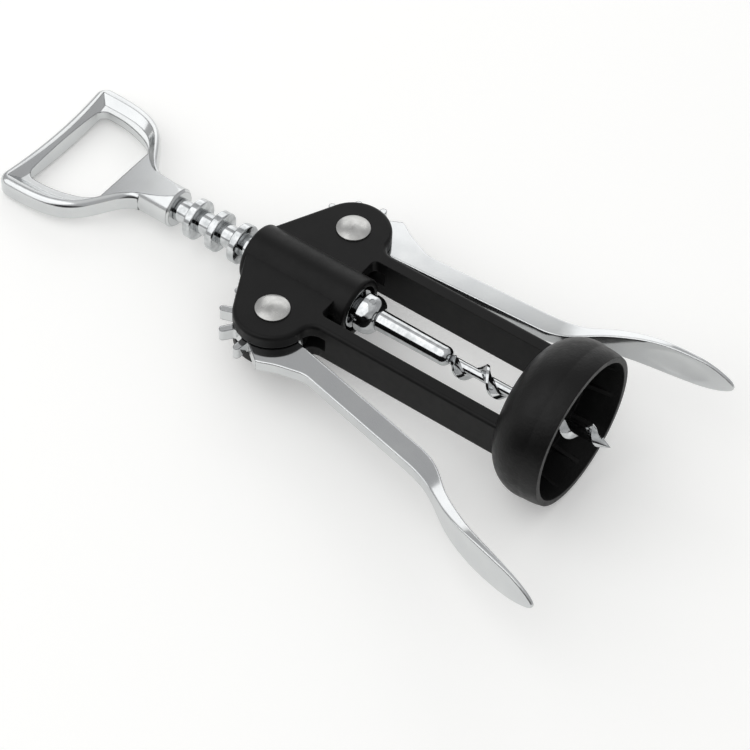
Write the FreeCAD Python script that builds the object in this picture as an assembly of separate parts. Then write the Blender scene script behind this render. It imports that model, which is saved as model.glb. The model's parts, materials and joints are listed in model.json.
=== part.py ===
import FreeCAD, Part
import math
import os

# Wing corkscrew, in millimetres.
# It is drawn upright: the screw's axis on Z with the handle at the top, the lever pivots at Z 0,
# the levers to either side along X and the front towards -Y.
# At the end it is laid on its back, the front upwards, resting on its bell and its handle.

# Mechanism
pivot_spacing = 34.0          # between the two lever pivots
tooth_step = 31.4             # degrees between neighbouring lever teeth
pitch_radius = 12.9           # rack travel per radian of lever
tooth_root_radius = 9.7
tooth_width = 1.85
tooth_root_round = 0.8
tooth_tip_clearance = 0.3     # between a tooth's tip and the rack's core
first_tooth = -1
last_tooth = 5
mesh_phase = 5.0              # degrees from a ring on the pivot line to where the rings stand
lever_opening = 7.5           # degrees, mean of both levers at rest
lever_backlash = 4.5          # degrees that one lever leads and the other lags

# Ring rack
ring_radius = 5.5
ring_thickness = 2.35
ring_edge_round = 0.4
rack_core_radius = 3.1
rings_below = 2               # rings below the pivot line
rings_above = 5               # rings above it
rack_skirt = 1.1              # bare core below the lowest ring
running_fit = 0.05            # radial clearance of a turning fit
end_play = 0.1                # axial clearance of the rack between neck and bead

# Body
plate_thickness = 3.5
slot_side_clearance = 0.3     # between a lever's face and the plate beside it
ear_radius = 9.9
rail_width = 3.7
window_width = 23.0
window_top = -10.5
window_corner = 1.6
shoulder_half_width = 6.0
shoulder_height = 16.6
ear_root_radius = 3.5
plate_edge_round = 1.0
tube_radius = 8.0
tube_bore = 6.3
tube_top = 17.6
tube_bottom = -14.5
tube_rim_round = 0.9
slot_margin = 0.5             # round the sweep of the lever's heel

# Bell
bell_top = -63.8
bell_mouth = -80.0
bell_widest = -75.2
bell_top_wall = 2.5           # wall of the collar's upper end, from the cork bore
bell_radius = 20.8
bell_lip_inset = 0.6          # lip inside the widest radius
bell_lip_wall = 1.5
bottle_seat = -70.5
bottle_seat_wall = 3.2        # wall at the seat, from the widest radius
cork_bore = 11.7
foot_ring_wall = 2.2
foot_ring_height = 4.0
bell_rib_count = 12
bell_rib_width = 1.2
bell_rib_height = 0.9
bell_rib_foot = 2.0           # from the lip to where the ribs begin
bell_rib_root = 0.3           # how far the ribs reach into the wall

# Rivets
rivet_radius = 3.0
rivet_head_radius = 4.4
rivet_head_height = 1.3
rivet_spigot_radius = 1.7
rivet_spigot_length = 0.7
rivet_rim_height = 0.35

# Levers
lever_thickness = 3.4
arm_inner = 0.1               # offset of the arm's inner edge from the pivot, outwards positive
arm_width = 5.9
heel_reach = 12.2
heel_drop = 7.6
heel_foot = 20.5
arm_straight = 54.0           # from the pivot to where the arm bends outwards
lever_length = 103.0
paddle_offset = 11.65         # the paddle's middle beyond the pivot, outwards
paddle_tip_thickness = 1.0
paddle_width = 9.8
lever_edge_round = 0.35       # long edges of arm and paddle
thumb_dish_place = 34.0       # middle of the hollow in the paddle's inner face, beyond the bend
thumb_dish_depth = 0.6
thumb_dish_length_radius = 45.0
thumb_dish_width_radius = 13.6
thumb_dish_lean = 5.6         # degrees between the paddle's inner face there and the arm

# Handle
neck_radius = 5.4
neck_top = 50.5
neck_bore_depth = 9.0
neck_edge = 0.6
handle_foot = 1.5             # from the neck's top to where the sides begin to flare
handle_end = 85.8
handle_end_dip = 1.8
handle_half_width = 21.9
handle_corner = 3.2
handle_thickness = 6.0
handle_edge_round = 1.7
rim_ridge = 2.5               # from the handle's edge to the ridge of its rim
rim_width = 4.8               # from the handle's edge to the foot of the rim's inner slope
rim_height = 1.7              # the ridge above the web
web_height = 10.2             # web between the neck and the opening
opener_bar = 3.4              # end bar beyond the opening
opener_side = 6.5             # side bar beside the opening
opener_corner = 2.6

# Worm
spindle_radius = 2.0
shank_radius = 2.75
shank_end_radius = 2.6
shank_end = -42.0
shank_end_round = 2.1
worm_pitch = 10.2
worm_radius = 3.3
worm_core_radius = 1.25
worm_tip = -88.0
worm_point_length = 7.5
worm_phase_height = -52.5     # a height at which the thread faces the front
blade_root_thickness = 5.2
blade_middle_thickness = 2.6
blade_edge_thickness = 0.8
bead_radius = 5.2
bead_length = 5.4
bead_top_round = 0.6
bead_foot_round = 3.2
pin_radius = 0.8
pin_recess = 0.15             # pin's ends below the bead's surface
shank_collar = 0.5            # how far the shank reaches into the bead

# Worked out from the sizes above
half_spacing = pivot_spacing / 2
lever_slot = lever_thickness + 2 * slot_side_clearance
tooth_tip_radius = half_spacing - rack_core_radius - tooth_tip_clearance
ring_pitch = pitch_radius * math.radians(tooth_step)
rack_offset = pitch_radius * math.radians(mesh_phase)
frame_half_depth = lever_slot / 2 + plate_thickness
rail_inner = window_width / 2
rail_outer = rail_inner + rail_width
rivet_bore = rivet_radius + running_fit
heel_radius = math.hypot(heel_reach, heel_drop)
hub_corner = 0.9 * tooth_root_radius          # the arm's upper corners, hidden inside the hub
bell_lip_radius = bell_radius - bell_lip_inset
mouth_radius = bell_lip_radius - bell_lip_wall
bell_top_radius = cork_bore + bell_top_wall
bottle_seat_radius = bell_radius - bottle_seat_wall
opener_bottom = neck_top + web_height
opener_top = handle_end - handle_end_dip - opener_bar
opener_half_width = handle_half_width - opener_side
slot_radius = max(heel_radius, tooth_tip_radius) + slot_margin
neck_bottom = (rings_above + 1) * ring_pitch - ring_thickness / 2 + rack_offset
lowest_ring = -rings_below * ring_pitch + rack_offset
rack_bottom = lowest_ring - ring_thickness / 2 - rack_skirt
bead_top = rack_bottom - end_play
bead_bottom = bead_top - bead_length
shank_top = bead_bottom + shank_collar


def vec(x, y, z):
    return FreeCAD.Vector(x, y, z)


def disc(radius, bottom, top):
    return Part.makeCylinder(radius, top - bottom, vec(0, 0, bottom), vec(0, 0, 1))


def cross_pin(radius, front, back, x=0.0, z=0.0):
    """A cylinder along Y, from front to back."""
    return Part.makeCylinder(radius, back - front, vec(x, front, z), vec(0, 1, 0))


def block(x0, x1, y0, y1, z0, z1):
    return Part.makeBox(x1 - x0, y1 - y0, z1 - z0, vec(x0, y0, z0))


def line(a, b):
    return Part.makeLine(vec(a[0], 0, a[1]), vec(b[0], 0, b[1]))


def arc(a, b, c):
    return Part.Arc(vec(a[0], 0, a[1]), vec(b[0], 0, b[1]), vec(c[0], 0, c[1])).toShape()


def curve(points, start=None, end=None):
    spline = Part.BSplineCurve()
    knots = [vec(x, 0, z) for x, z in points]
    if start and end:
        spline.interpolate(Points=knots, InitialTangent=vec(start[0], 0, start[1]),
                           FinalTangent=vec(end[0], 0, end[1]))
    else:
        spline.interpolate(knots)
    return spline.toShape()


def slab(edges, thickness):
    """A flat piece: a closed outline in XZ, as thick as given about Y 0."""
    face = Part.Face(Part.Wire(Part.__sortEdges__(edges)))
    face.translate(vec(0, -thickness / 2, 0))
    return face.extrude(vec(0, thickness, 0))


def turned(edges):
    """A body of revolution about Z from an outline in the X > 0 half plane."""
    face = Part.Face(Part.Wire(Part.__sortEdges__(edges)))
    return face.revolve(vec(0, 0, 0), vec(0, 0, 1), 360)


def polar(centre, radius, degrees):
    angle = math.radians(degrees)
    return (centre[0] + radius * math.cos(angle), centre[1] + radius * math.sin(angle))


def mirrored(shape):
    return shape.mirror(vec(0, 0, 0), vec(1, 0, 0))


def frame_half_outline():
    """Right-hand edge of the body's plate, from its top middle to the foot of the rail."""
    pivot = (half_spacing, 0.0)
    corner = (shoulder_half_width, shoulder_height)
    reach = math.hypot(pivot[0] - corner[0], pivot[1] - corner[1])
    bearing = math.degrees(math.atan2(corner[1] - pivot[1], corner[0] - pivot[0]))
    tangent = bearing - math.degrees(math.acos(ear_radius / reach))
    root_centre_x = rail_outer + ear_root_radius
    drop = math.sqrt((ear_radius + ear_root_radius) ** 2 - (half_spacing - root_centre_x) ** 2)
    root_centre = (root_centre_x, -drop)
    leave = math.degrees(math.atan2(-drop, root_centre_x - half_spacing))
    on_ear = polar(pivot, ear_radius, leave)
    ear_middle = polar(pivot, ear_radius, (tangent + leave) / 2)
    root_middle = polar(root_centre, ear_root_radius, (leave + 180 + 180) / 2)
    on_rail = (rail_outer, root_centre[1])
    return [
        line((0, shoulder_height), corner),
        line(corner, polar(pivot, ear_radius, tangent)),
        arc(polar(pivot, ear_radius, tangent), ear_middle, on_ear),
        arc(on_ear, root_middle, on_rail),
        line(on_rail, (rail_outer, bottle_seat)),
    ]


def make_body_frame():
    half = frame_half_outline()
    other = [edge.mirror(vec(0, 0, 0), vec(1, 0, 0)) for edge in half]
    foot = [line((-rail_outer, bottle_seat), (rail_outer, bottle_seat))]
    body = slab(half + other + foot, 2 * frame_half_depth)
    rim = [e for e in body.Edges if abs(abs(e.CenterOfMass.y) - frame_half_depth) < 0.01
           and e.CenterOfMass.z > bottle_seat + 1]
    body = body.makeFillet(plate_edge_round, rim)
    window = block(-rail_inner, rail_inner, -frame_half_depth - 1, frame_half_depth + 1,
                   bottle_seat - 1, window_top)
    corners = [e for e in window.Edges if abs(e.CenterOfMass.z - window_top) < 0.01
               and abs(abs(e.CenterOfMass.x) - rail_inner) < 0.01]
    body = body.cut(window.makeFillet(window_corner, corners))
    tube = disc(tube_radius, tube_bottom, tube_top)
    rims = [e for e in tube.Edges if abs(e.Length - 2 * math.pi * tube_radius) < 0.01]
    body = body.fuse(tube.makeFillet(tube_rim_round, rims))
    foot_ring = disc(cork_bore + foot_ring_wall, bottle_seat, bottle_seat + foot_ring_height)
    body = body.fuse(foot_ring)
    body = body.cut(disc(cork_bore, bottle_seat - 1, bottle_seat + foot_ring_height + 1))
    body = body.cut(disc(tube_bore, tube_bottom - 1, tube_top + 1))
    for side in (-1, 1):
        x = side * half_spacing
        body = body.cut(cross_pin(slot_radius, -lever_slot / 2, lever_slot / 2, x))
        body = body.cut(cross_pin(rivet_bore, -frame_half_depth - 1, frame_half_depth + 1, x))
    return body.removeSplitter()


def bell_outline():
    """Half section of the collar: a domed cup with a thin lip and a step that seats on a bottle."""
    belly = (bell_radius - bell_top_radius, bell_widest - bell_top)
    dome = (bell_top_radius + belly[0] * math.sin(math.radians(45)),
            bell_top + belly[1] * (1 - math.cos(math.radians(45))))
    lip_middle = (bell_radius - 0.2 * bell_lip_inset, (bell_widest + bell_mouth) / 2)
    return [
        line((cork_bore, bell_top), (bell_top_radius, bell_top)),
        arc((bell_top_radius, bell_top), dome, (bell_radius, bell_widest)),
        arc((bell_radius, bell_widest), lip_middle, (bell_lip_radius, bell_mouth)),
        line((bell_lip_radius, bell_mouth), (mouth_radius, bell_mouth)),
        line((mouth_radius, bell_mouth), (bottle_seat_radius, bottle_seat)),
        line((bottle_seat_radius, bottle_seat), (cork_bore, bottle_seat)),
        line((cork_bore, bottle_seat), (cork_bore, bell_top)),
    ]


def make_bell_rib():
    """A short rib inside the mouth, from near the lip up to the bottle seat."""
    height = bottle_seat - bell_mouth
    foot = bell_mouth + bell_rib_foot
    wall = mouth_radius + (bottle_seat_radius - mouth_radius) * bell_rib_foot / height
    face = Part.Face(Part.makePolygon([
        vec(wall + bell_rib_root, 0, foot),
        vec(wall, 0, foot),
        vec(bottle_seat_radius - bell_rib_height, 0, bottle_seat),
        vec(bottle_seat_radius + bell_rib_root, 0, bottle_seat),
        vec(wall + bell_rib_root, 0, foot),
    ]))
    face.translate(vec(0, -bell_rib_width / 2, 0))
    return face.extrude(vec(0, bell_rib_width, 0))


def make_bell_collar():
    bell = turned(bell_outline())
    rib = make_bell_rib()
    for index in range(bell_rib_count):
        turned_rib = rib.copy()
        turned_rib.rotate(vec(0, 0, 0), vec(0, 0, 1), (index + 0.5) * 360 / bell_rib_count)
        bell = bell.fuse(turned_rib)
    for side in (-1, 1):
        inner, outer = sorted((side * cork_bore / 2, side * rail_outer))
        bell = bell.cut(block(inner, outer, -frame_half_depth, frame_half_depth,
                              bottle_seat, bell_top + 1))
    foot_ring = disc(cork_bore + foot_ring_wall, bottle_seat, bottle_seat + foot_ring_height)
    return bell.cut(foot_ring).removeSplitter()


def dome_head(radius, height):
    """A rivet head on Z 0: a short straight rim, then a dome that rises to height."""
    rim = rivet_rim_height
    ball_radius = (radius ** 2 + (height - rim) ** 2) / (2 * (height - rim))
    middle = radius / 2
    rise = height - ball_radius + math.sqrt(ball_radius ** 2 - middle ** 2)
    return turned([
        line((0, 0), (radius, 0)),
        line((radius, 0), (radius, rim)),
        arc((radius, rim), (middle, rise), (0, height)),
        line((0, height), (0, 0)),
    ])


def make_rivet(x):
    """Post with its head on the front plate; a spigot at the back takes the cap."""
    post = disc(rivet_radius, -2 * frame_half_depth, 0)
    post = post.fuse(disc(rivet_spigot_radius, -2 * frame_half_depth - rivet_spigot_length, 0))
    post = post.fuse(dome_head(rivet_head_radius, rivet_head_height))
    post.rotate(vec(0, 0, 0), vec(1, 0, 0), 90)
    post.translate(vec(x, -frame_half_depth, 0))
    return post.removeSplitter()


def make_rivet_cap(x):
    cap = dome_head(rivet_head_radius, rivet_head_height)
    cap = cap.cut(disc(rivet_spigot_radius, -1, rivet_spigot_length))
    cap.rotate(vec(0, 0, 0), vec(1, 0, 0), -90)
    cap.translate(vec(x, frame_half_depth, 0))
    return cap


def bend_points(start, end, steps):
    """Points where the arm bends outwards into the paddle, each as shares of the way along and out."""
    length = lever_length - arm_straight
    return [(-start - (end - start) * out, -arm_straight - length * along) for along, out in steps]


def lever_outline():
    """Arm and paddle seen from the front: pivot at 0, 0, arm downwards, outwards is -X."""
    arm_outer = arm_inner + arm_width
    heel = (-heel_reach, -heel_drop)
    rim_start = (-hub_corner, 0)
    hub_end = (-arm_inner, -hub_corner)
    outer_foot = (-arm_outer, -heel_foot)
    heel_curve = [(-arm_outer - (heel_reach - arm_outer) * out,
                   -heel_drop - (heel_foot - heel_drop) * along)
                  for along, out in [(0, 1), (0.27, 0.62), (0.62, 0.24), (1, 0)]]
    outer = bend_points(arm_outer, paddle_offset + paddle_tip_thickness / 2, [
        (0, 0), (0.196, 0.19), (0.340, 0.61), (0.526, 0.92), (0.742, 1.01), (1, 1)])
    inner = bend_points(arm_inner, paddle_offset - paddle_tip_thickness / 2, [
        (0, 0), (0.153, 0.16), (0.268, 0.45), (0.392, 0.68), (0.577, 0.89), (0.784, 0.98), (1, 1)])
    down = (0, -1)
    return [
        line(rim_start, heel),
        curve(heel_curve, (0.5, -1), down),
        line(outer_foot, outer[0]),
        curve(outer, down, down),
        line(outer[-1], inner[-1]),
        curve(inner, down, down),
        line(inner[0], hub_end),
        line(hub_end, (0, 0)),
        line((0, 0), rim_start),
    ]


def paddle_side_outline():
    """The lever seen from its side, in YZ: a thin arm that widens to a leaf-shaped paddle."""
    half = lever_thickness / 2
    wide = paddle_width / 2
    length = lever_length - arm_straight
    leaf = [(0.10, 0.0), (0.28, 0.24), (0.46, 0.72), (0.62, 0.98), (0.76, 0.95), (0.89, 0.62)]
    points = [(half + (wide - half) * share, -arm_straight - length * along) for along, share in leaf]
    start = vec(0, points[0][0], points[0][1])
    far_start = vec(0, -start.y, start.z)
    top = vec(0, half, lever_length)
    far_top = vec(0, -half, lever_length)
    edge = Part.BSplineCurve()
    right = [vec(0, y, z) for y, z in points]
    left = [vec(0, -y, z) for y, z in reversed(points)]
    edge.interpolate(Points=right + [vec(0, 0, -lever_length)] + left,
                     InitialTangent=vec(0, 0, -1), FinalTangent=vec(0, 0, 1))
    return [
        Part.makeLine(far_top, top),
        Part.makeLine(top, start),
        edge.toShape(),
        Part.makeLine(far_start, far_top),
    ]


def lever_tooth(degrees):
    """A round-ended tooth on the rim, with a rounded root on each side."""
    half = tooth_width / 2
    spread = half + tooth_root_round
    foot = math.sqrt(tooth_root_radius ** 2 - spread ** 2)
    shoulder = foot + tooth_root_round
    hollow = tooth_root_round * (1 - math.sqrt(0.5))
    reach = tooth_tip_radius - half
    depth = foot - tooth_root_round
    tooth = slab([
        line((depth, -spread), (foot, -spread)),
        arc((foot, -spread), (foot + hollow, -half - hollow), (shoulder, -half)),
        line((shoulder, -half), (reach, -half)),
        arc((reach, -half), (tooth_tip_radius, 0), (reach, half)),
        line((reach, half), (shoulder, half)),
        arc((shoulder, half), (foot + hollow, half + hollow), (foot, spread)),
        line((foot, spread), (depth, spread)),
        line((depth, spread), (depth, -spread)),
    ], lever_thickness)
    tooth.rotate(vec(0, 0, 0), vec(0, 1, 0), -degrees)
    return tooth


def make_thumb_dish():
    """What is hollowed out of the paddle's inner face: part of a ring that touches only there."""
    length = lever_length - arm_straight
    inner = paddle_offset - paddle_tip_thickness / 2
    face = bend_points(arm_inner, inner, [(thumb_dish_place / length, 0.945)])[0]
    reach = thumb_dish_length_radius - thumb_dish_depth
    middle = polar(face, reach, -thumb_dish_lean)
    tube = thumb_dish_width_radius
    return Part.makeTorus(thumb_dish_length_radius - tube, tube, vec(middle[0], 0, middle[1]), vec(0, 1, 0))


def make_lever():
    """The left-hand lever with its pivot at the origin and its arm straight down."""
    blank = slab(lever_outline(), paddle_width)
    side = Part.Face(Part.Wire(Part.__sortEdges__(paddle_side_outline())))
    side.translate(vec(-3 * paddle_offset, 0, 0))
    lever = blank.common(side.extrude(vec(6 * paddle_offset, 0, 0)))
    rims = [e for e in lever.Edges if e.BoundBox.YLength > lever_edge_round
            and e.BoundBox.ZLength > paddle_width]
    lever = lever.makeFillet(lever_edge_round, rims).cut(make_thumb_dish())
    lever = lever.fuse(cross_pin(tooth_root_radius, -lever_thickness / 2, lever_thickness / 2))
    for index in range(first_tooth, last_tooth + 1):
        angle = (index + 0.5) * tooth_step + mesh_phase + lever_opening
        lever = lever.fuse(lever_tooth(angle))
    bore = cross_pin(rivet_bore, -lever_thickness, lever_thickness)
    return lever.cut(bore).removeSplitter()


def place_lever(lever, side, opening):
    piece = lever.copy() if side < 0 else mirrored(lever)
    piece.rotate(vec(0, 0, 0), vec(0, 1, 0), -side * opening)
    piece.translate(vec(side * half_spacing, 0, 0))
    return piece


def make_ring_rack():
    """A turned sleeve whose rings are the rack that the lever teeth mesh with."""
    rack = disc(rack_core_radius, rack_bottom, neck_bottom - end_play)
    for index in range(-rings_below, rings_above + 1):
        middle = index * ring_pitch + rack_offset
        ring = disc(ring_radius, middle - ring_thickness / 2, middle + ring_thickness / 2)
        edges = [e for e in ring.Edges if abs(e.Length - 2 * math.pi * ring_radius) < 0.01]
        rack = rack.fuse(ring.makeFillet(ring_edge_round, edges))
    return rack.cut(disc(spindle_radius + running_fit, rack_bottom - 1, neck_bottom + 1))


def handle_side(offset):
    """The handle's right-hand edge, from the neck up to its end, moved inwards by offset."""
    width = handle_half_width - offset
    start = (neck_radius - 0.5 * offset, neck_top + handle_foot)
    flare = start[1] + 0.6 * offset
    end = (width, handle_end - offset)
    shape = [(0.15, 0.45), (0.34, 0.82), (0.50, 0.945), (0.72, 0.995)]
    points = [(width * out, flare + (end[1] - flare) * up) for up, out in shape]
    return [start] + points + [end]


def handle_outline(offset, depth):
    """The handle's closed outline at a depth, moved inwards by offset, always with the same edges."""
    side = handle_side(offset)
    half = [
        line((0, side[0][1]), side[0]),
        curve(side, (0.3, 1), (0, 1)),
    ]
    other = [edge.mirror(vec(0, 0, 0), vec(1, 0, 0)) for edge in half]
    corner = side[-1]
    end = arc(corner, (0, corner[1] - handle_end_dip), (-corner[0], corner[1]))
    wire = Part.Wire(Part.__sortEdges__(half + [end] + other))
    wire.translate(vec(0, depth, 0))
    return wire


def opener_outline():
    """The opening: flat lifting edge at the bottom, round upper corners."""
    height = opener_top - opener_bottom
    side_top = opener_top - opener_corner
    shape = [(0, 0.62), (0.06, 0.73), (0.31, 0.90), (0.60, 0.985)]
    side = [(opener_half_width * out, opener_bottom + height * up) for up, out in shape]
    side.append((opener_half_width, side_top))
    turn = polar((opener_half_width - opener_corner, side_top), opener_corner, 45)
    corner_end = (opener_half_width - opener_corner, opener_top)
    right = [
        line((0, opener_bottom), side[0]),
        curve(side),
        arc(side[-1], turn, corner_end),
        line(corner_end, (0, opener_top)),
    ]
    left = [edge.mirror(vec(0, 0, 0), vec(1, 0, 0)) for edge in right]
    return right + left


def make_rim_pocket(front):
    """What is taken off one face inside the rim: its sides slope from the ridge down to the web."""
    slope = (rim_width - rim_ridge) / rim_height
    above = rim_height / 3
    face = front * handle_thickness / 2
    wide = handle_outline(rim_ridge - above * slope, face + front * above)
    narrow = handle_outline(rim_width, face - front * rim_height)
    return Part.makeLoft([wide, narrow], True, True)


def make_neck():
    """The round neck and the web above it, planed on both faces into ramps that thin to the opening."""
    web = handle_thickness / 2 - rim_height
    round_neck = disc(neck_radius, neck_bottom, opener_bottom)
    rims = [e for e in round_neck.Edges if abs(e.CenterOfMass.z - neck_bottom) < 0.01
            and e.Length > neck_radius]
    round_neck = round_neck.makeChamfer(neck_edge, rims)
    flare = Part.Face(handle_outline(rim_ridge, -neck_radius)).extrude(vec(0, 2 * neck_radius, 0))
    profile = [vec(0, y, z) for y, z in [
        (-neck_radius, neck_bottom), (neck_radius, neck_bottom),
        (neck_radius, neck_bottom + neck_edge), (web, opener_bottom),
        (-web, opener_bottom), (-neck_radius, neck_bottom + neck_edge), (-neck_radius, neck_bottom)]]
    side = Part.Face(Part.makePolygon(profile))
    side.translate(vec(-handle_half_width, 0, 0))
    return round_neck.fuse(flare).common(side.extrude(vec(2 * handle_half_width, 0, 0)))


def make_opener_handle():
    handle = Part.Face(handle_outline(0, -handle_thickness / 2))
    handle = handle.extrude(vec(0, handle_thickness, 0))
    corners = [e for e in handle.Edges if abs(abs(e.CenterOfMass.x) - handle_half_width) < 0.01
               and abs(e.CenterOfMass.y) < 0.01 and e.CenterOfMass.z > handle_end - 0.01]
    handle = handle.makeFillet(handle_corner, corners)
    rims = [e for e in handle.Edges if abs(abs(e.CenterOfMass.y) - handle_thickness / 2) < 0.01
            and e.CenterOfMass.z > neck_top + 2]
    handle = handle.makeFillet(handle_edge_round, rims)
    for front in (-1, 1):
        handle = handle.cut(make_rim_pocket(front))
    handle = handle.cut(slab(opener_outline(), handle_thickness + 2))
    handle = handle.fuse(make_neck())
    handle = handle.cut(disc(spindle_radius, neck_bottom - 1, neck_bottom + neck_bore_depth))
    return handle.removeSplitter()


def make_blade():
    """The helical blade, hollow on both flanks, with one thread height turned to the front."""
    start = worm_tip - worm_pitch / 4
    root = worm_core_radius / 2
    middle = worm_core_radius + 0.25 * (worm_radius - worm_core_radius)
    shape = [(root, blade_root_thickness / 2), (middle, blade_middle_thickness / 2),
             (worm_radius, blade_edge_thickness / 2)]
    outline = [(r, -half) for r, half in shape] + [(r, half) for r, half in reversed(shape)]
    section = Part.makePolygon([vec(r, 0, z) for r, z in outline + outline[:1]])
    helix = Part.makeHelix(worm_pitch, shank_end - start, worm_core_radius)
    blade = Part.Wire(helix).makePipeShell([section], True, True)
    blade.rotate(vec(0, 0, 0), vec(0, 0, 1), 360 * (start - worm_phase_height) / worm_pitch - 90)
    blade.translate(vec(0, 0, start))
    return blade


def make_worm():
    """Pointed auger with its shank and the spindle that runs up through the rack."""
    point_start = worm_tip + worm_point_length
    fade_start = shank_end - worm_pitch / 4
    outside = worm_radius + blade_edge_thickness / 4
    envelope = turned([
        line((0, worm_tip), (outside, point_start)),
        line((outside, point_start), (outside, fade_start)),
        line((outside, fade_start), (worm_core_radius, shank_end)),
        line((worm_core_radius, shank_end), (0, shank_end)),
        line((0, shank_end), (0, worm_tip)),
    ])
    core = disc(worm_core_radius, worm_tip, shank_end)
    screw = core.fuse(make_blade()).common(envelope)
    shoulder = shank_end + shank_end_round
    bulge = polar((shank_end_radius - shank_end_round, shoulder), shank_end_round, -45)
    shank = turned([
        line((0, shank_end), (shank_end_radius - shank_end_round, shank_end)),
        arc((shank_end_radius - shank_end_round, shank_end), bulge, (shank_end_radius, shoulder)),
        line((shank_end_radius, shoulder), (shank_radius, bead_bottom)),
        line((shank_radius, bead_bottom), (shank_radius, shank_top)),
        line((shank_radius, shank_top), (0, shank_top)),
        line((0, shank_top), (0, shank_end)),
    ])
    spindle = disc(spindle_radius, bead_bottom, neck_bottom + neck_bore_depth)
    worm = screw.fuse(shank).fuse(spindle)
    return worm.cut(make_pin_hole()).removeSplitter()


def make_pin_hole():
    return cross_pin(pin_radius, -tube_radius, tube_radius, 0, bead_top - bead_length / 2)


def make_end_bead():
    """Bead pinned to the spindle below the rack; it carries the rack's push and pull."""
    bead = disc(bead_radius, bead_bottom, bead_top)
    for height, radius in ((bead_bottom, bead_foot_round), (bead_top, bead_top_round)):
        rim = [e for e in bead.Edges if abs(e.CenterOfMass.z - height) < 0.01
               and e.Length > bead_radius]
        bead = bead.makeFillet(radius, rim)
    bead = bead.cut(disc(spindle_radius, bead_bottom - 1, bead_top + 1))
    bead = bead.cut(disc(shank_radius, bead_bottom - 1, shank_top))
    return bead.cut(make_pin_hole())


def make_bead_pin():
    reach = bead_radius - pin_recess
    return cross_pin(pin_radius, -reach, reach, 0, bead_top - bead_length / 2)


def lay_down(pieces):
    """Turn the tool on its back, rest it on bell and handle, and centre its footprint."""
    drop = bell_radius - handle_thickness / 2
    tilt = math.degrees(math.atan2(drop, handle_end - bell_widest))
    for attempt in range(3):
        lowest = []
        for name in ("bell_collar", "opener_handle"):
            shape = pieces[name].copy()
            shape.rotate(vec(0, 0, 0), vec(1, 0, 0), -90 - tilt)
            lowest.append(shape.optimalBoundingBox(False).ZMin)
        gap = lowest[1] - lowest[0]
        tilt = tilt + math.degrees(math.atan2(gap, handle_end - bell_widest))
    for shape in pieces.values():
        shape.rotate(vec(0, 0, 0), vec(1, 0, 0), -90 - tilt)
    box = Part.makeCompound(list(pieces.values())).optimalBoundingBox(False)
    shift = vec(-(box.XMin + box.XMax) / 2, -(box.YMin + box.YMax) / 2, -box.ZMin)
    for shape in pieces.values():
        shape.translate(shift)
    print("tilt", round(tilt, 4), "shift", round(shift.x, 4), round(shift.y, 4), round(shift.z, 4))


def build():
    lever = make_lever()
    pieces = {
        "body_frame": make_body_frame(),
        "bell_collar": make_bell_collar(),
        "rivet_left": make_rivet(-half_spacing),
        "rivet_right": make_rivet(half_spacing),
        "rivet_cap_left": make_rivet_cap(-half_spacing),
        "rivet_cap_right": make_rivet_cap(half_spacing),
        "lever_left": place_lever(lever, -1, lever_opening + lever_backlash),
        "lever_right": place_lever(lever, 1, lever_opening - lever_backlash),
        "ring_rack": make_ring_rack(),
        "opener_handle": make_opener_handle(),
        "worm": make_worm(),
        "end_bead": make_end_bead(),
        "bead_pin": make_bead_pin(),
    }
    lay_down(pieces)
    return pieces


os.makedirs("parts", exist_ok=True)
for name, shape in build().items():
    shape.exportStep("parts/" + name + ".step")
    print(name, len(shape.Solids), shape.isValid(), round(shape.Volume, 1))
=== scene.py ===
import json
import math

import bpy
from mathutils import Matrix, Vector

# Looks of a wing corkscrew that lies on its back. Metres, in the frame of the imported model.

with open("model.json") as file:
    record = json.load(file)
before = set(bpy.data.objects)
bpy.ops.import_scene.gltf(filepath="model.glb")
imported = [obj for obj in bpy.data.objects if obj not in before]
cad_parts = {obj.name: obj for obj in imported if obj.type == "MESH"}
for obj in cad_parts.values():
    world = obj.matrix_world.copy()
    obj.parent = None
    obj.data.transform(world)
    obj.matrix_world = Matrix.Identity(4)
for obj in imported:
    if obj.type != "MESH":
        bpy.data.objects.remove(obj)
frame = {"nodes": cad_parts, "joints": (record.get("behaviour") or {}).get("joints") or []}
nodes = frame["nodes"]
joints = {joint["name"]: joint for joint in frame["joints"]}
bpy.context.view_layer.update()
mm = 0.001

# directions and pivots of the tool itself, from its joints
toHandle = -Vector(joints["handle_spin"]["axis"]).normalized()
toFront = -Vector(joints["lever_left_pivot"]["axis"]).normalized()
pivotLeft = Vector(joints["lever_left_pivot"]["pos_m"])
pivotRight = Vector(joints["lever_right_pivot"]["pos_m"])
print("frame loaded:", len(nodes), "nodes")


def linear(hexColour):
    channels = [int(hexColour[i:i + 2], 16) / 255 for i in (1, 3, 5)]
    return tuple(c / 12.92 if c <= 0.04045 else ((c + 0.055) / 1.055) ** 2.4 for c in channels) + (1.0,)


def addNode(tree, kind, settings=None, links=None):
    # settings: the node's own properties or the values of its sockets; links: outputs of other nodes
    node = tree.nodes.new(kind)
    for name, value in (settings or {}).items():
        if isinstance(name, str) and hasattr(node, name):
            setattr(node, name, value)
        else:
            node.inputs[name].default_value = value
    for socket, source in (links or {}).items():
        tree.links.new(source, node.inputs[socket])
    return node


def newMaterial(name):
    material = bpy.data.materials.new(name)
    material.use_nodes = True
    tree = material.node_tree
    tree.nodes.clear()
    return material, tree


def output(tree, shader):
    addNode(tree, "ShaderNodeOutputMaterial", {}, {"Surface": shader.outputs[0]})


def objectPlace(tree):
    return addNode(tree, "ShaderNodeTexCoord").outputs["Object"]


def perMetre(sizeMm):
    return 1.0 / (sizeMm * mm)      # texture scale whose features are sizeMm apart


def noise(tree, position, sizeMm, detail):
    return addNode(tree, "ShaderNodeTexNoise", {"Scale": perMetre(sizeMm), "Detail": detail},
                   {"Vector": position}).outputs["Fac"]


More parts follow.
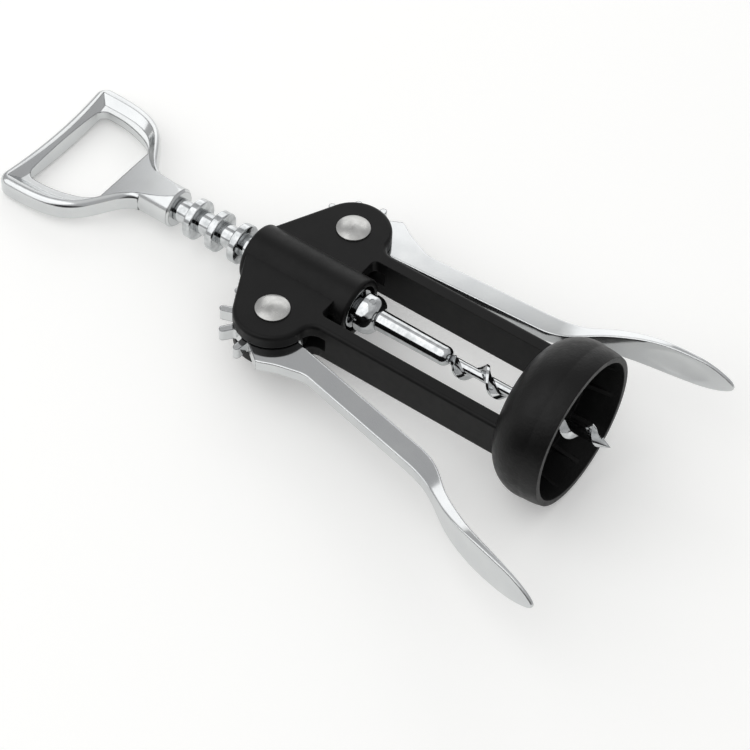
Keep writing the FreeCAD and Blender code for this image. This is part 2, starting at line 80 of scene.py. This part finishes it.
def lineNoise(tree, distance, sizeMm):
    # changes along one distance only, which draws lines or rings
    return addNode(tree, "ShaderNodeTexNoise",
                   {"noise_dimensions": "1D", "Scale": perMetre(sizeMm), "Detail": 2.0},
                   {"W": distance}).outputs["Fac"]


def spread(tree, value, low, high, fromLow=0.0, fromHigh=1.0):
    return addNode(tree, "ShaderNodeMapRange",
                   {"From Min": fromLow, "From Max": fromHigh, "To Min": low, "To Max": high},
                   {"Value": value}).outputs["Result"]


def patches(tree, position, sizeMm, low=0.0, high=1.0, detail=4.0):
    # noise seldom leaves 0.3 to 0.7, so that part of it is spread over the whole range
    return spread(tree, noise(tree, position, sizeMm, detail), low, high, 0.3, 0.7)


def mixColours(tree, amount, first, second):
    # each colour is a hex string or another node's output
    settings, links = {"data_type": "RGBA"}, {0: amount}
    for socket, colour in ((6, first), (7, second)):    # the mix node's two colour sockets
        if isinstance(colour, str):
            settings[socket] = linear(colour)
        else:
            links[socket] = colour
    return addNode(tree, "ShaderNodeMix", settings, links).outputs[2]


def dot(tree, value, direction):
    return addNode(tree, "ShaderNodeVectorMath", {"operation": "DOT_PRODUCT", 1: direction},
                   {0: value}).outputs["Value"]


def roundedEdge(tree, sizeMm):
    # the small radius that every cast, moulded or turned edge has
    return addNode(tree, "ShaderNodeBevel", {"samples": 6, "Radius": sizeMm * mm}).outputs["Normal"]


def edgeMask(tree, rounded, least, most):
    # 0 on the faces, 1 along the edges
    flat = addNode(tree, "ShaderNodeNewGeometry").outputs["Normal"]
    turn = addNode(tree, "ShaderNodeVectorMath", {"operation": "DOT_PRODUCT"}, {0: rounded, 1: flat})
    return spread(tree, turn.outputs["Value"], 0.0, 1.0, 1 - least, 1 - most)


def relief(tree, height, depthMm, under):
    return addNode(tree, "ShaderNodeBump", {"Strength": 1.0, "Distance": depthMm * mm},
                   {"Height": height, "Normal": under}).outputs["Normal"]


# Chrome plate on a tumbled zinc casting: a bright mirror that rolls a little, with faint hand marks.
castChrome = {
    "tint": "#d4d6d6",
    "tintCloudy": "#cccecf",
    "cloudMm": 9.0,
    "roughness": (0.06, 0.11),
    "rollMm": 7.0,
    "rollDepth": 0.004,
    "pitMm": 0.9,                    # the real pits are finer, these just show
    "pitDepth": 0.0010,
    "edgeMm": 0.5,
    "paintedEdgeReflection": "#6c6e70",           # painted dark reflection along the edges, standing in for the dark surroundings that the chrome mirrors there
    "edgeTurn": (0.02, 0.12),        # how far an edge has turned where the painted reflection starts, and is full
}

# The handle was polished by hand after casting, so its mirror is a little softer; the dark reflection
# painted along its edges is darker.
handChrome = dict(castChrome, roughness=(0.13, 0.19), paintedEdgeReflection="#4e5052")


def makeCastChrome(name, options):
    material, tree = newMaterial(name)
    position = objectPlace(tree)
    cloud = patches(tree, position, options["cloudMm"])
    tint = mixColours(tree, cloud, options["tint"], options["tintCloudy"])
    rounded = roundedEdge(tree, options["edgeMm"])
    # painted reflection: the edges are mixed towards a dark tint, as if they mirrored dark surroundings
    tint = mixColours(tree, edgeMask(tree, rounded, *options["edgeTurn"]), tint, options["paintedEdgeReflection"])
    roll = noise(tree, position, options["rollMm"], 0.0)
    pits = noise(tree, position, options["pitMm"], 2.0)
    normal = relief(tree, roll, options["rollDepth"], rounded)
    normal = relief(tree, pits, options["pitDepth"], normal)
    output(tree, addNode(tree, "ShaderNodeBsdfPrincipled", {"Metallic": 1.0},
                         {"Base Color": tint, "Roughness": spread(tree, cloud, *options["roughness"]),
                          "Normal": normal}))
    return material


# Chrome plate on turned or drawn steel: a hard mirror with fine lines round its axis.
turnedChrome = {
    "tint": "#d6d8d9",
    "tintGrimy": "#b0b3b4",
    "grimeMm": 1.8,
    "roughness": (0.05, 0.12),
    "lineMm": 0.45,                  # turning marks, coarser than the real 0.1 mm so that they show
    "lineDepth": 0.0016,
    "edgeMm": 0.22,
    "grooveMm": 1.6,                 # how far the painted shade reaches into the corners
    "grooveOpen": (0.75, 0.25),      # how open a corner is where the painted shade starts, and is full
    "grooveShadeColour": "#55575a",
}


def makeTurnedChrome(name, options):
    material, tree = newMaterial(name)
    position = objectPlace(tree)
    lines = lineNoise(tree, dot(tree, position, toHandle), options["lineMm"])
    grime = patches(tree, position, options["grimeMm"])
    tint = mixColours(tree, grime, options["tint"], options["tintGrimy"])
    # painted shade: the ambient occlusion darkens the grooves and inner corners towards a dark tint
    corner = addNode(tree, "ShaderNodeAmbientOcclusion",
                     {"samples": 8, "Distance": options["grooveMm"] * mm}).outputs["AO"]
    paintedShade = spread(tree, corner, 0.0, 1.0, *options["grooveOpen"])
    tint = mixColours(tree, paintedShade, tint, options["grooveShadeColour"])
    normal = relief(tree, lines, options["lineDepth"], roundedEdge(tree, options["edgeMm"]))
    output(tree, addNode(tree, "ShaderNodeBsdfPrincipled", {"Metallic": 1.0},
                         {"Base Color": tint, "Roughness": spread(tree, grime, *options["roughness"]),
                          "Normal": normal}))
    return material


# Glass-filled nylon from a spark-eroded mould: near black, a satin grain, softly lit edges.
mouldedNylon = {
    "colour": "#0a0a0a",
    "fleck": "#101010",
    "fleckMm": 8.0,                  # where the melt flowed together
    "gloss": 0.18,
    "roughness": (0.36, 0.46),
    "shineMm": 2.4,
    "grainMm": 0.55,                 # spark grain, drawn twice as coarse as it is
    "grainDepth": 0.006,
    "edgeMm": 0.35,
}

# Soft-touch ABS: the same black with the shine taken off, and a grain that can be felt.
softTouchAbs = {
    "colour": "#090909",
    "fleck": "#101010",
    "fleckMm": 8.0,
    "gloss": 0.23,
    "roughness": (0.38, 0.50),
    "shineMm": 2.4,
    "grainMm": 0.75,                 # also coarser than it is
    "grainDepth": 0.060,
    "edgeMm": 0.35,
}


def makeMoulded(name, options):
    material, tree = newMaterial(name)
    position = objectPlace(tree)
    flow = patches(tree, position, options["fleckMm"], detail=3.0)
    low, high = options["roughness"]
    rough = patches(tree, position, options["shineMm"], low, high)
    grain = noise(tree, position, options["grainMm"], 2.0)
    normal = relief(tree, grain, options["grainDepth"], roundedEdge(tree, options["edgeMm"]))
    output(tree, addNode(tree, "ShaderNodeBsdfPrincipled",
                         {"IOR": 1.5, "Specular IOR Level": options["gloss"]},
                         {"Base Color": mixColours(tree, flow, options["colour"], options["fleck"]),
                          "Roughness": rough, "Normal": normal}))
    return material


# Stainless rivet heads, spun when they were set: satin, with rings round the post.
spunSteel = {
    "tint": "#c3c3c1",
    "tintDull": "#b2b2b0",
    "dullMm": 1.6,
    "roughness": (0.26, 0.32),
    "brushed": 0.6,
    "ringMm": 0.4,                   # spinning marks, coarser than they are so that they show
    "ringDepth": 0.003,
    "edgeMm": 0.2,
}


def makeSpunSteel(name, options, centre, axis):
    material, tree = newMaterial(name)
    position = objectPlace(tree)
    arm = addNode(tree, "ShaderNodeVectorMath", {"operation": "SUBTRACT", 1: centre}, {0: position})
    across = addNode(tree, "ShaderNodeVectorMath", {"operation": "CROSS_PRODUCT", 1: axis},
                     {0: arm.outputs[0]}).outputs[0]
    distance = addNode(tree, "ShaderNodeVectorMath", {"operation": "LENGTH"}, {0: across}).outputs["Value"]
    rings = lineNoise(tree, distance, options["ringMm"])
    dull = patches(tree, position, options["dullMm"])
    tint = mixColours(tree, dull, options["tint"], options["tintDull"])
    normal = relief(tree, rings, options["ringDepth"], roundedEdge(tree, options["edgeMm"]))
    output(tree, addNode(tree, "ShaderNodeBsdfPrincipled",
                         {"Metallic": 1.0, "Anisotropic": options["brushed"]},
                         {"Base Color": tint, "Roughness": spread(tree, dull, *options["roughness"]),
                          "Normal": normal, "Tangent": across}))
    return material


leverPlate = makeCastChrome("chromePlatedZincLever", castChrome)
handlePlate = makeCastChrome("chromePlatedZincHandle", handChrome)
rackPlate = makeTurnedChrome("chromePlatedTurnedSteel", turnedChrome)
wormPlate = makeTurnedChrome("chromePlatedDrawnSteel", turnedChrome)
finishes = {
    "body_frame": makeMoulded("glassFilledNylonMoulded", mouldedNylon),
    "bell_collar": makeMoulded("softTouchAbsMoulded", softTouchAbs),
    "rivet_left": makeSpunSteel("stainlessRivetSpunLeft", spunSteel, pivotLeft, toFront),
    "rivet_right": makeSpunSteel("stainlessRivetSpunRight", spunSteel, pivotRight, toFront),
    "lever_left": leverPlate,
    "lever_right": leverPlate,
    "opener_handle": handlePlate,
    "ring_rack": rackPlate,
    "end_bead": rackPlate,
    "bead_pin": rackPlate,
    "worm": wormPlate,
}
finishes["rivet_cap_left"] = finishes["rivet_left"]
finishes["rivet_cap_right"] = finishes["rivet_right"]
for name, node in nodes.items():
    for slot in node.material_slots:
        slot.material = finishes[name]
print("materials on", len(nodes), "nodes")


def addToScene(thing):
    bpy.context.scene.collection.objects.link(thing)
    return thing


def addStage(name, corners, faces, material):
    mesh = bpy.data.meshes.new(name)
    mesh.from_pydata(corners, [], faces)
    mesh.materials.append(material)
    panel = addToScene(bpy.data.objects.new(name, mesh))
    return panel


paperSweep = {
    "colour": "#f4f4f2",
    "lift": 0.22,                    # the sweep's own white, as the camera and the metal see it
    "size": 8.0,
    "drop": 0.02,                    # mm under the tool, so that the two never share a plane
}


def makeFloor(options):
    material, tree = newMaterial("paperSweepMatt")
    path = addNode(tree, "ShaderNodeLightPath").outputs
    seen = path["Is Camera Ray"]
    for ray in ("Is Glossy Ray", "Is Transmission Ray"):
        seen = addNode(tree, "ShaderNodeMath", {"operation": "MAXIMUM"}, {0: seen, 1: path[ray]}).outputs[0]
    lift = addNode(tree, "ShaderNodeMath", {"operation": "MULTIPLY", 1: options["lift"]}, {0: seen})
    paper = addNode(tree, "ShaderNodeBsdfDiffuse", {"Color": linear(options["colour"])})
    glow = addNode(tree, "ShaderNodeEmission", {}, {"Strength": lift.outputs[0]})
    output(tree, addNode(tree, "ShaderNodeAddShader", {}, {0: paper.outputs[0], 1: glow.outputs[0]}))
    half, under = options["size"] / 2, -options["drop"] * mm
    corners = [(x, y, under) for x, y in ((-half, -half), (half, -half), (half, half), (-half, half))]
    addStage("floor", corners, [(0, 1, 2, 3)], material)


# a lit panel beyond the right-hand lever; its soft edge runs across the flat faces of the levers
softbox = {
    "mirror": (0.544, 0.438, 0.715),     # where the flat faces look
    "rise": (0.716, 0.203, -0.668),      # across the soft edge, towards the light
    "levels": (0.60, 1.45),              # from its soft edge to its middle
    "edge": (0.022, 0.055),              # where the soft edge starts and ends
    "size": 0.75,
    "distance": 0.85,
}


def makeSoftbox(options):
    mirror, rise = Vector(options["mirror"]), Vector(options["rise"])
    along = mirror.cross(rise)
    start, end = options["edge"]
    material, tree = newMaterial("softboxCloth")
    height = dot(tree, objectPlace(tree), rise)
    low, high = options["levels"]
    output(tree, addNode(tree, "ShaderNodeEmission", {},
                         {"Strength": spread(tree, height, low, high, start, end)}))
    size = options["size"]
    centre = mirror * options["distance"]
    corners = [centre + rise * up + along * side for up, side in
               ((start, -size / 2), (start, size / 2), (start + size, size / 2), (start + size, -size / 2))]
    panel = addStage("softbox", corners, [(0, 1, 2, 3)], material)
    panel.visible_camera = False


# a black card beside the tool, which gives the chrome its dark lines
blackCard = {
    "colour": "#0c0c0c",
    "foot": ((-0.100, 0.060), (-0.100, -0.060), (-0.150, -0.180)),
    "out": 0.30,
    "up": 0.25,
}


def makeBlackCard(options):
    material, tree = newMaterial("blackCardMatt")
    output(tree, addNode(tree, "ShaderNodeBsdfDiffuse", {"Color": linear(options["colour"])}))
    foot = options["foot"]
    top = foot[0][0] - options["out"]
    corners = [(x, y, 0.0) for x, y in foot] + [(top, y, options["up"]) for x, y in foot]
    count = len(foot)
    faces = [(i, i + 1, count + i + 1, count + i) for i in range(count - 1)]
    card = addStage("blackCard", corners, faces, material)
    card.visible_camera = False
    card.visible_diffuse = False
    card.visible_shadow = False


keyLamp = {
    "place": (-0.60, 0.50, 0.84),
    "size": 1.4,
    "power": 5.9,
}


def makeLamp(name, options):
    light = bpy.data.lights.new(name, "AREA")
    light.shape = "SQUARE"
    light.size = options["size"]
    light.energy = options["power"]
    lamp = addToScene(bpy.data.objects.new(name, light))
    lamp.rotation_mode = "QUATERNION"
    lamp.rotation_quaternion = Vector(options["place"]).to_track_quat("Z", "Y")
    lamp.location = options["place"]


# the window end of the room is lighter, the end beside the camera is dark
room = {
    "walls": ((0.0, 0.50), (0.2, 0.52), (0.5, 0.52), (0.72, 0.50), (0.85, 0.64), (1.0, 0.80)),
    "coolness": 1.01,
    "ends": (
        {"towards": (0.90, 0.36, 0.15), "edge": (0.78, 0.96), "gain": 1.6},
        {"towards": (-0.93, -0.30, 0.0), "edge": (0.76, 0.93), "gain": 0.06},
    ),
}


def makeWorld(options):
    world = bpy.data.worlds.new("studioRoom")
    world.use_nodes = True
    tree = world.node_tree
    tree.nodes.clear()
    direction = addNode(tree, "ShaderNodeTexCoord").outputs["Generated"]
    height = addNode(tree, "ShaderNodeSeparateXYZ", {}, {0: direction}).outputs["Z"]
    ramp = addNode(tree, "ShaderNodeValToRGB", {}, {"Fac": height})
    floorLevel, *walls, ceilingLevel = options["walls"]
    elements = ramp.color_ramp.elements
    for element, (at, level) in zip(elements, (floorLevel, ceilingLevel)):
        element.position, element.color = at, (level, level, level, 1)
    for at, level in walls:
        elements.new(at).color = (level, level, level * options["coolness"], 1)
    gains = []
    for end in options["ends"]:
        least, most = end["edge"]
        facing = dot(tree, direction, Vector(end["towards"]).normalized())
        gains.append(addNode(tree, "ShaderNodeMapRange",
                             {"interpolation_type": "SMOOTHSTEP", "From Min": least, "From Max": most,
                              "To Min": 1.0, "To Max": end["gain"]}, {"Value": facing}).outputs["Result"])
    strength = addNode(tree, "ShaderNodeMath", {"operation": "MULTIPLY"}, {0: gains[0], 1: gains[1]})
    background = addNode(tree, "ShaderNodeBackground", {},
                         {"Color": ramp.outputs["Color"], "Strength": strength.outputs[0]})
    addNode(tree, "ShaderNodeOutputWorld", {}, {"Surface": background.outputs[0]})
    bpy.context.scene.world = world


makeFloor(paperSweep)
makeSoftbox(softbox)
makeBlackCard(blackCard)
makeLamp("keyLamp", keyLamp)
makeWorld(room)
print("studio set")


camera = {
    "place": (-0.34501, -0.18604, 0.51014),
    "back": (-0.54378, -0.26529, 0.7962),
    "roll": 12.1577,
    "lens": 122.56,
    "sensor": 36.0,
    "clip": (0.05, 20),
}


def makeCamera(options):
    data = bpy.data.cameras.new("camera")
    data.sensor_width = options["sensor"]
    data.lens = options["lens"]
    data.clip_start, data.clip_end = options["clip"]
    thing = addToScene(bpy.data.objects.new("camera", data))
    level = (-Vector(options["back"])).to_track_quat("-Z", "Y").to_matrix()
    turn = Matrix.Rotation(math.radians(options["roll"]), 3, "Z")
    thing.rotation_mode = "QUATERNION"
    thing.rotation_quaternion = (level @ turn).to_quaternion()
    thing.location = options["place"]
    bpy.context.scene.camera = thing


makeCamera(camera)
bpy.context.scene.view_settings.view_transform = "Standard"
print("camera set")
